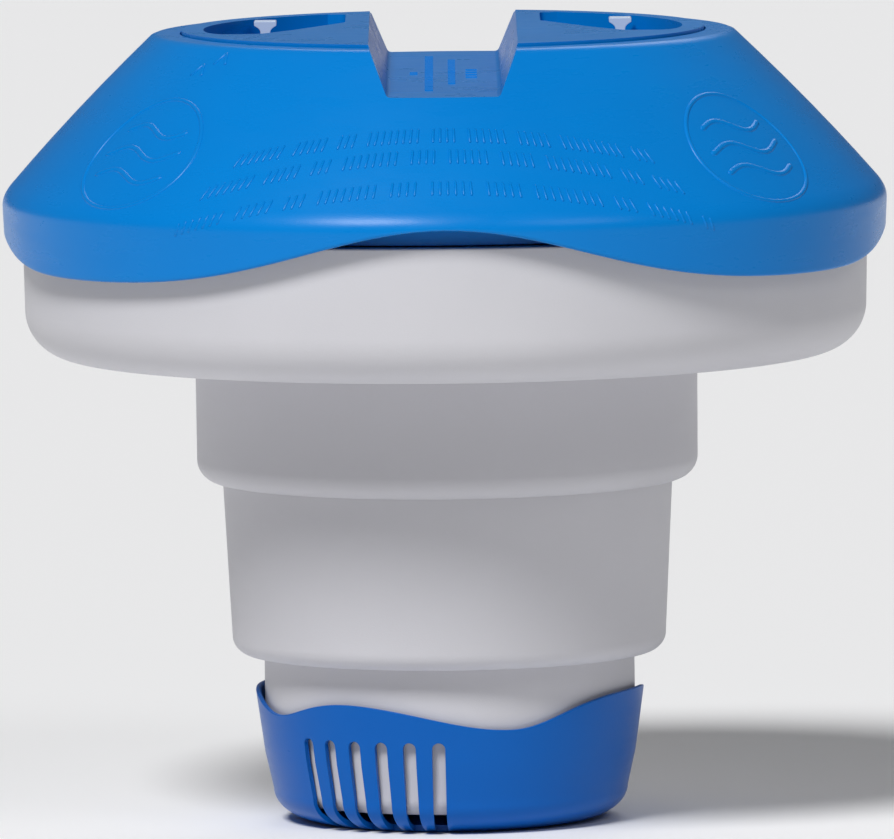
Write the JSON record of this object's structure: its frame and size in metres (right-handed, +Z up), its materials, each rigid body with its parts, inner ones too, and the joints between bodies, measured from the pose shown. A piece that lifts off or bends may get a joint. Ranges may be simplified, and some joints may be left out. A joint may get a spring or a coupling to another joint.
{
  "type": "floating chlorine dispenser",
  "caption": "Floating pool tablet dispenser: wavy-edged lid with finger wells on a ring float, telescoping sleeves below and a turning slotted flow ring at the foot.",
  "frame": {"origin": "centre of the flow ring's flat base, bottom centre of the whole dispenser", "axes": "+Z up along the sleeves and the lid's turning axis; -Y is the front, where the channel, the wide arch of the lid and one group of slots face"},
  "size_m": [0.2032, 0.2032, 0.1825],
  "materials": {
    "lid_blue": "satin injection-moulded blue polypropylene",
    "cap_blue": "satin injection-moulded blue polypropylene",
    "ring_blue": "satin injection-moulded blue polypropylene, slightly deeper",
    "shell_white": "matte white polyethylene",
    "sleeve_white": "matte white polyethylene",
    "tab_white": "pale satin plastic",
    "rubber_black": "matte rubber",
    "stainless_steel": "plain stainless"
  },
  "bodies": {
    "float": {"float_upper_shell": "shell_white", "float_lower_shell": "shell_white", "upper_sleeve": "sleeve_white", "sleeve_clamp_ring": "sleeve_white"},
    "inner_cap": {"lid_inner_cap": "cap_blue", "cap_seal_ring": "rubber_black", "latch_spring_left": "stainless_steel", "latch_spring_right": "stainless_steel", "lid_pivot_washer": "stainless_steel"},
    "lid": {"lid_skirt": "lid_blue", "lid_top": "lid_blue", "lid_pivot_screw": "stainless_steel"},
    "latch_left": {"latch_tab_left": "tab_white"},
    "latch_right": {"latch_tab_right": "tab_white"},
    "middle": {"middle_sleeve": "sleeve_white", "middle_friction_ring": "rubber_black"},
    "lower": {"lower_sleeve": "sleeve_white", "lower_friction_ring": "rubber_black", "flow_pivot_screw": "stainless_steel"},
    "flow": {"flow_ring": "ring_blue", "flow_pivot_washer": "stainless_steel"}
  },
  "joints": [
    {"name": "lid_lift", "type": "slide", "parent": "float", "child": "inner_cap", "axis": [0, 0, 1], "range_m": [0, 0.06]},
    {"name": "lid_turn", "type": "hinge", "parent": "inner_cap", "child": "lid", "pos_m": [0, 0, 0.17], "axis": [0, 0, 1], "range_deg": [-22, 0]},
    {"name": "latch_press_left", "type": "slide", "parent": "inner_cap", "child": "latch_left", "axis": [1, 0, 0], "range_m": [0, 0.0025], "stiffness_N_per_m": 400, "springref_m": -0.002, "deforming": ["latch_spring_left"]},
    {"name": "latch_press_right", "type": "slide", "parent": "inner_cap", "child": "latch_right", "axis": [-1, 0, 0], "range_m": [0, 0.0025], "stiffness_N_per_m": 400, "springref_m": -0.002, "deforming": ["latch_spring_right"]},
    {"name": "middle_extend", "type": "slide", "parent": "float", "child": "middle", "axis": [0, 0, 1], "range_m": [0, 0.038]},
    {"name": "lower_extend", "type": "slide", "parent": "middle", "child": "lower", "axis": [0, 0, 1], "range_m": [-0.0331, 0.0065]},
    {"name": "flow_turn", "type": "hinge", "parent": "lower", "child": "flow", "pos_m": [0, 0, 0.015], "axis": [0, 0, 1], "range_deg": [0, 54]}
  ]
}
